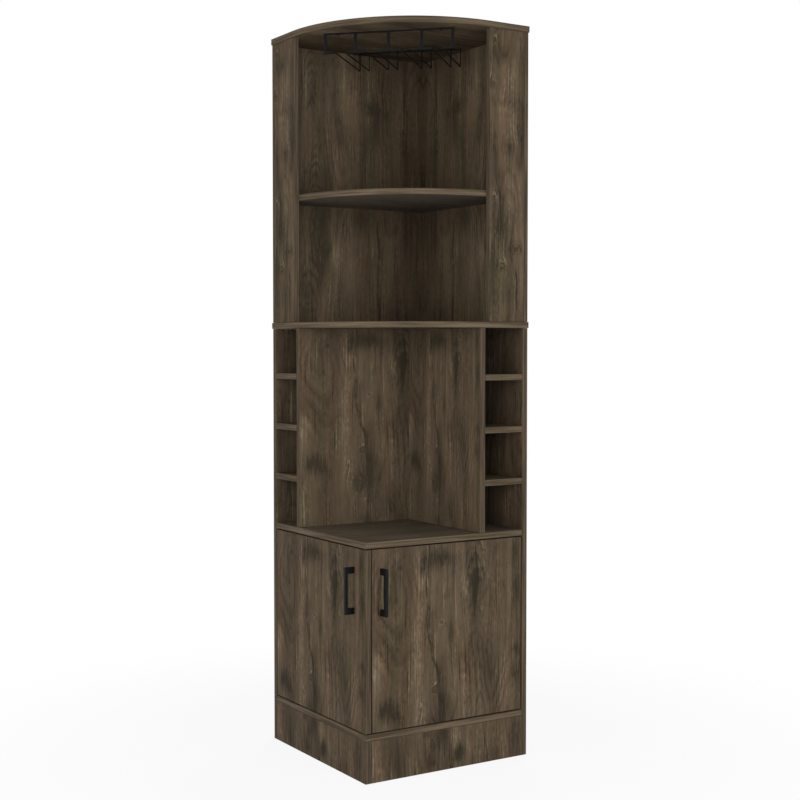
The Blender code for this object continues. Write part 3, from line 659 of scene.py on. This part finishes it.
def dress_boards():
    """Each board with its grain, and where it is cut from the print."""
    upright = {"left": ("Y", "Z", "X"), "right": ("X", "Z", "Y")}
    flat = {"left": ("Y", "X", "Z"), "right": ("X", "Y", "Z")}
    # The right back has its print mirrored
    mirror = {"stretch": (-1.0, 1.0), "shift": (extent("right_back", "Y"), 0.0)}
    turned = {"left": {}, "right": mirror}
    print_width = extent("right_door", "X")
    for side, far in (("left", "right"), ("right", "left")):
        near, cross = upright[side], upright[far]
        width = extent(side + "_door", near[0])
        wood(side + "_door", *near, "door", stretch=(width / print_width, 1.0), edge=UPRIGHT_EDGE)
        # Plinths, dividers and backs have their print flattened towards tan by a painted wash of
        # reflected light
        wood(side + "_plinth", *near, "plinth", edge=UPRIGHT_EDGE, painted_wash=0.10, wash_colour=TAN)
        wood(side + "_wing", *near, "wing", edge=UPRIGHT_EDGE)
        wood(side + "_wall_panel", *cross, "plain", shift=(0.0, 0.3), edge=UPRIGHT_EDGE)
        width = extent(side + "_divider", cross[0])
        wood(side + "_divider", *cross, "door", stretch=(width / print_width, DIVIDER_PRINT),
             edge=UPRIGHT_EDGE, painted_wash=0.14, wash_colour=TAN)
        wood(side + "_back", *cross, "back", edge=UPRIGHT_EDGE, painted_wash=0.14, wash_colour=TAN, **turned[side])
        for row in (1, 2, 3):
            wood(f"{side}_cubby_shelf_{row}", *flat[side], "plain", shift=(row * 0.37, row * 1.3))
    wood("bottom_board", *flat["left"], "plain", shift=(0.9, 0.4))
    # The counter and the upper shelf are paled towards grey by a painted wash of light, standing in
    # for bounced light and sheen
    wood("counter_board", *flat["left"], "plain", shift=(-0.1, 0.1), painted_wash=0.30)
    wood("middle_board", *flat["left"], "plain", shift=(0.5, 0.8), curved=True)
    wood("top_board", *flat["left"], "plain", shift=(0.1, 0.0), curved=True, edge=TOP_EDGE)
    wood("upper_shelf", *flat["left"], "plain", shift=(0.3, 0.2), curved=True, painted_wash=0.52)
    wood("corner_post", *upright["right"], "plain", shift=(2.0, 0.3))


# Metal and rubber
def black_metal(name, gloss, tone, specular):
    """Black powder coat with a fine grain; tone scales its two colours."""
    material, net = new_material(name)
    grain, cloud = net.even_noise(2600.0, 1.0), net.even_noise(60.0, 2.0)
    mottle = net.step(cloud * 0.6 + grain * 0.4, 0.3, 0.7)
    colour = net.mix(mottle, scaled(COAT_DARK, tone), scaled(COAT_LIGHT, tone))
    roughness = gloss + (grain - 0.5) * 0.16 + (cloud - 0.5) * 0.08
    shade(net, colour, roughness, grain, 0.00003, specular=specular)
    return material


def bright_metal(name):
    """Satin nickel plate, drawn lengthwise, with faint wear."""
    material, net = new_material(name)
    x, y, z = net.parts(net.coordinates("Object"))
    drawn = net.noise(net.vector((x + y) * 1400.0, z * 1400.0, (x - y) * 90.0), detail=2.0)
    wear = net.even_noise(110.0, 3.0)
    colour = net.mix(net.step(wear, 0.35, 0.7), NICKEL_DARK, NICKEL_LIGHT)
    shade(net, colour, 0.24 + drawn * 0.14 + (wear - 0.5) * 0.10, drawn, 0.00001, metallic=1.0)
    return material


def rubber(name):
    material, net = new_material(name)
    speckle = net.even_noise(1500.0, 2.0)
    colour = net.mix(speckle, RUBBER_DARK, RUBBER_LIGHT)
    shade(net, colour, 0.72 + speckle * 0.12, speckle, 0.00003, specular=0.3)
    return material


def dress_fittings():
    """Metal and rubber for the CAD fittings, and the fittings built in detail."""
    coat = black_metal("black_coat", 0.42, tone=0.65, specular=0.08)
    wire = black_metal("black_wire", 0.36, tone=0.68, specular=0.06)
    plate = bright_metal("nickel_plate")
    soft = rubber("stop_rubber")
    build_hinge_screws(plate)
    build_handle_screws(plate)
    build_rack_details(wire)
    build_bumpers(soft)
    for name, item in NODES.items():
        if name.startswith("rack_"):
            paint(item, wire)
        elif name.endswith("_handle"):
            paint(item, coat)
        elif name.endswith("_screw") or "_hinge_" in name:
            paint(item, plate)
        elif name.endswith("_stop"):
            paint(item, soft)


# Small fittings in detail.  Along a face runs from the cabinet's front corner,
# back goes behind the face, and up is the height.
def face_way(side, along, back, up):
    return Vector((along, back, up)) if side == "right" else Vector((back, along, up))


def face_point(side, along, back, up):
    return face_way(side, along, back, up) + CORNER


def face_box(side, name):
    """Lowest and highest corner of a CAD node as along, back and up."""
    return [face_way(side, *(point - CORNER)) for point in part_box(name)]


def lathe(form, profile, sides):
    """Closed form turned round the Z axis from a profile of radii and heights."""
    rings = []
    for radius, height in profile:
        angles = [math.tau * index / sides for index in range(sides if radius else 1)]
        rings.append([form.verts.new((radius * math.cos(angle), radius * math.sin(angle), height))
                      for angle in angles])
    for first, second in zip(rings, rings[1:]):
        for index in range(sides):
            corners = [first[index % len(first)], first[(index + 1) % sides % len(first)],
                       second[(index + 1) % sides % len(second)], second[index % len(second)]]
            form.faces.new(list(dict.fromkeys(corners)))
    bmesh.ops.recalc_face_normals(form, faces=form.faces)


def new_object(name, form):
    mesh = bpy.data.meshes.new(name)
    form.to_mesh(mesh)
    form.free()
    item = bpy.data.objects.new(name, mesh)
    bpy.context.scene.collection.objects.link(item)
    return item


def blade(top, bottom, half_width, high, low):
    """Tapered blade that cuts one slot of a cross recess."""
    form = bmesh.new()
    corners = [form.verts.new((x * reach, y * half_width, z))
               for reach, z in ((top, high), (bottom, low))
               for x, y in ((-1, -1), (1, -1), (1, 1), (-1, 1))]
    form.faces.new(corners[:4])
    form.faces.new(corners[4:])
    for index in range(4):
        after = (index + 1) % 4
        form.faces.new((corners[index], corners[after], corners[4 + after], corners[4 + index]))
    bmesh.ops.recalc_face_normals(form, faces=form.faces)
    return new_object("blade", form)


def screw_mesh(name, head, height, shank, length):
    """Screw along Z with its domed head on top, cut with a cross recess."""
    tip = min(length, shank)
    profile = [(0, -length), (shank * 0.5, -length), (shank, tip * 0.8 - length), (shank, 0)]
    profile += [(head * wide, height * high) for wide, high in HEAD_DOME]
    form = bmesh.new()
    lathe(form, profile, HEAD_SIDES)
    solid = new_object(name, form)
    for angle in (0, math.pi / 2):
        cutter = blade(*scaled(RECESS_WIDTHS, head), *scaled(RECESS_HEIGHTS, height))
        cutter.rotation_euler.z = angle
        cut = solid.modifiers.new("recess", "BOOLEAN")
        cut.operation, cut.solver, cut.object = "DIFFERENCE", "EXACT", cutter
    bpy.context.view_layer.update()
    graph = bpy.context.evaluated_depsgraph_get()
    mesh = bpy.data.meshes.new_from_object(solid.evaluated_get(graph))
    for cut in list(solid.modifiers):
        bpy.data.objects.remove(cut.object)
    bpy.data.objects.remove(solid)
    return mesh


def screws(name, body, pattern, places, way, material, node=None):
    """Piece of screws at their places, with the heads towards way."""
    form = bmesh.new()
    lean = way.to_track_quat("Z", "Y").to_matrix().to_4x4()
    for index, place in enumerate(places):
        # Each recess stands at its own angle
        spin = Matrix.Rotation(0.5 + 1.1 * index + 9 * place.z, 4, "Z")
        before = len(form.verts)
        form.from_mesh(pattern)
        form.verts.ensure_lookup_table()
        bmesh.ops.transform(form, matrix=Matrix.Translation(place) @ lean @ spin,
                            verts=form.verts[before:])
    finish_piece(new_object(name, form), body, material, node)


def finish_piece(item, body, material, node=None):
    """Shade a piece smooth between its sharp edges, and say what it belongs to."""
    item.data.shade_smooth()
    item.data.set_sharp_from_angle(angle=math.radians(SHARP_ANGLE))
    paint(item, material)
    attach(item, body)
    if node:
        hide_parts(node)


def build_hinge_screws(metal):
    """Screws on the cups' ears, on the mounting plates and on the arms."""
    ear_screw = screw_mesh("ear_screw", *EAR_SCREW)
    plate_screw = screw_mesh("plate_screw", *PLATE_SCREW)
    arm_screw = screw_mesh("arm_screw", *ARM_SCREW)
    for side in ("left", "right"):
        sideways, backward = face_way(side, -1, 0, 0), face_way(side, 0, 1, 0)
        for end in ("lower", "upper"):
            hinge = f"{side}_{end}_hinge"
            low, high = face_box(side, hinge + "_cup")
            middle = (low + high) / 2
            reach = (high - low).z / 2 - EAR_SCREW_INSET
            places = [face_point(side, middle.x, high.y, middle.z + way * reach) for way in (-1, 1)]
            screws(hinge + "_cup_screws", side + "_door", ear_screw, places, backward, metal)
            low, high = face_box(side, hinge + "_plate")
            middle = (low + high) / 2
            reach = (high - low).z / 2 - PLATE_SCREW_INSET
            places = [face_point(side, low.x, middle.y, middle.z + way * reach) for way in (-1, 1)]
            screws(hinge + "_plate_screws", "carcass", plate_screw, places, sideways, metal)
            face = low.x - ARM_GAP - ARM_THICKNESS
            places = [face_point(side, face, middle.y + way * ARM_SCREW_REACH, middle.z)
                      for way in (-1, 1)]
            screws(hinge + "_arm_screws", "carcass", arm_screw, places, sideways, metal)


def build_handle_screws(metal):
    """Screws through the doors into the pulls, in place of the plain ones."""
    for side in ("left", "right"):
        for end in ("lower", "upper"):
            node = f"{side}_handle_{end}_screw"
            low, high = face_box(side, node)
            length = (high - low).y - HANDLE_HEAD_HEIGHT
            pattern = screw_mesh(node + "_pattern", (high - low).z / 2, HANDLE_HEAD_HEIGHT,
                                 HANDLE_SHANK, length)
            middle = (low + high) / 2
            place = face_point(side, middle.x, high.y - HANDLE_HEAD_HEIGHT, middle.z)
            screws(node + "_head", side + "_door", pattern, [place], face_way(side, 0, 1, 0),
                   metal, node)


def build_rack_details(metal):
    """Screws of the rack in place of the plain ones, and the welds of its wires."""
    for end in ("left", "right", "back"):
        node = f"rack_{end}_screw"
        low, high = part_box(node)
        length = (high - low).z - RACK_HEAD_HEIGHT
        pattern = screw_mesh(node + "_pattern", (high - low).x / 2, RACK_HEAD_HEIGHT,
                             RACK_SHANK, length)
        place = Vector(((low.x + high.x) / 2, (low.y + high.y) / 2, low.z + RACK_HEAD_HEIGHT))
        screws(node + "_head", "carcass", pattern, [place], Vector((0, 0, -1)),
               metal, node)
    wires = [slot + side * SLOT_WIDTH / 2 for slot in SLOT_MIDDLES for side in (-1, 1)]
    front = (RACK_FRONT + FRONT_WELD_BEHIND, RACK_LEVEL)
    back = (RACK_BACK - WIRE_RADIUS - BACK_WELD_BEFORE, RACK_TOP - BACK_WELD_BELOW)
    for name, (away, up) in (("rack_front_welds", front), ("rack_back_welds", back)):
        form = bmesh.new()
        for index, across in enumerate(wires):
            place = CORNER + Vector((away + across, away - across, 0)) / math.sqrt(2)
            weld(form, place + Vector((0, 0, up)), index * 7.3)
        finish_piece(new_object(name, form), "carcass", metal)


def weld(form, place, seed):
    """Lumpy bead of weld."""
    made = bmesh.ops.create_icosphere(form, subdivisions=3, radius=1.0)
    for vert in made["verts"]:
        lump = 1.0 + WELD_LUMPS * noise.noise(vert.co * 1.7 + Vector((seed, 0, 0)))
        vert.co = place + Vector([part * size for part, size in zip(vert.co, WELD_BEAD)]) * lump


def build_bumpers(material):
    """Domed rubber bumpers in place of the plain stops."""
    for side in ("left", "right"):
        node = side + "_door_stop"
        low, high = face_box(side, node)
        radius, thick = (high - low).z / 2, (high - low).y
        form = bmesh.new()
        lathe(form, [(radius * wide, thick * up) for wide, up in BUMPER_DOME], BUMPER_SIDES)
        middle = (low + high) / 2
        lean = face_way(side, 0, -1, 0).to_track_quat("Z", "Y").to_matrix().to_4x4()
        spot = Matrix.Translation(face_point(side, middle.x, high.y, middle.z))
        bmesh.ops.transform(form, matrix=spot @ lean, verts=form.verts)
        finish_piece(new_object(node + "_bumper", form), "carcass", material, node)


# Room, light and camera
def seen_rays(net):
    """1 for the rays of the camera, of mirrors and of glass, which see a white room."""
    seen = net.node("ShaderNodeLightPath")
    bent = net.math("MAXIMUM", Value(net, seen.outputs["Is Glossy Ray"]),
                    Value(net, seen.outputs["Is Transmission Ray"]))
    return net.math("MAXIMUM", Value(net, seen.outputs["Is Camera Ray"]), bent)


def build_stage():
    """Pale floor that looks white but keeps the shadow."""
    material, net = new_material("stage_floor")
    pale = net.node("ShaderNodeBsdfDiffuse")
    x, y, z = net.parts(net.coordinates("Object"))
    dust = net.noise(net.vector(x * 3.0, y * 3.0, z), detail=2.0)
    net.put(pale.inputs["Color"], net.mix(dust, FLOOR_DARK, FLOOR_LIGHT))
    glow = net.node("ShaderNodeEmission")
    net.put(glow.inputs["Color"], WHITE)
    blend = net.node("ShaderNodeMixShader")
    away = net.math("SQRT", x * x + y * y)
    net.put(blend.inputs[0], seen_rays(net) * net.step(away, 0.5, 1.5, 0.90, 1.0))
    net.tree.links.new(pale.outputs[0], blend.inputs[1])
    net.tree.links.new(glow.outputs[0], blend.inputs[2])
    output = net.node("ShaderNodeOutputMaterial")
    net.tree.links.new(blend.outputs[0], output.inputs["Surface"])
    form = bmesh.new()
    bmesh.ops.create_grid(form, x_segments=2, y_segments=2, size=FLOOR_REACH)
    floor = new_object("floor", form)
    floor.location.z = FLOOR_LEVEL
    paint(floor, material)


def build_world():
    """Even light at the world's level, and white where a seen ray meets it."""
    world = bpy.data.worlds.new("studio")
    world.use_nodes = True
    world.node_tree.nodes.clear()
    net = Net(world.node_tree)
    sky = net.node("ShaderNodeBackground")
    net.put(sky.inputs["Color"], WHITE)
    net.put(sky.inputs["Strength"], seen_rays(net) * (1.0 - WORLD_LEVEL) + WORLD_LEVEL)
    output = net.node("ShaderNodeOutputWorld")
    net.tree.links.new(sky.outputs[0], output.inputs["Surface"])
    bpy.context.scene.world = world


def build_lamps():
    for name, place, size, power in LAMPS:
        light = bpy.data.lights.new(name, "AREA")
        light.shape = "DISK"
        light.size = size
        light.energy = power
        item = bpy.data.objects.new(name, light)
        item.location = place
        aim = Vector(LAMP_AIM) - Vector(place)
        item.rotation_euler = aim.to_track_quat("-Z", "Y").to_euler()
        bpy.context.scene.collection.objects.link(item)


def build_camera():
    lens = bpy.data.cameras.new("camera")
    lens.lens = CAMERA_LENS
    lens.sensor_width = CAMERA_SENSOR
    lens.clip_end = CAMERA_REACH
    item = bpy.data.objects.new("camera", lens)
    item.location = CAMERA_PLACE
    item.rotation_euler = (math.radians(90 - CAMERA_DOWN), 0, math.radians(-CAMERA_RIGHT))
    bpy.context.scene.collection.objects.link(item)
    bpy.context.scene.camera = item


build_camera()
bpy.context.scene.view_settings.view_transform = "Standard"
build_world()
build_lamps()
build_stage()
dress_boards()
dress_fittings()
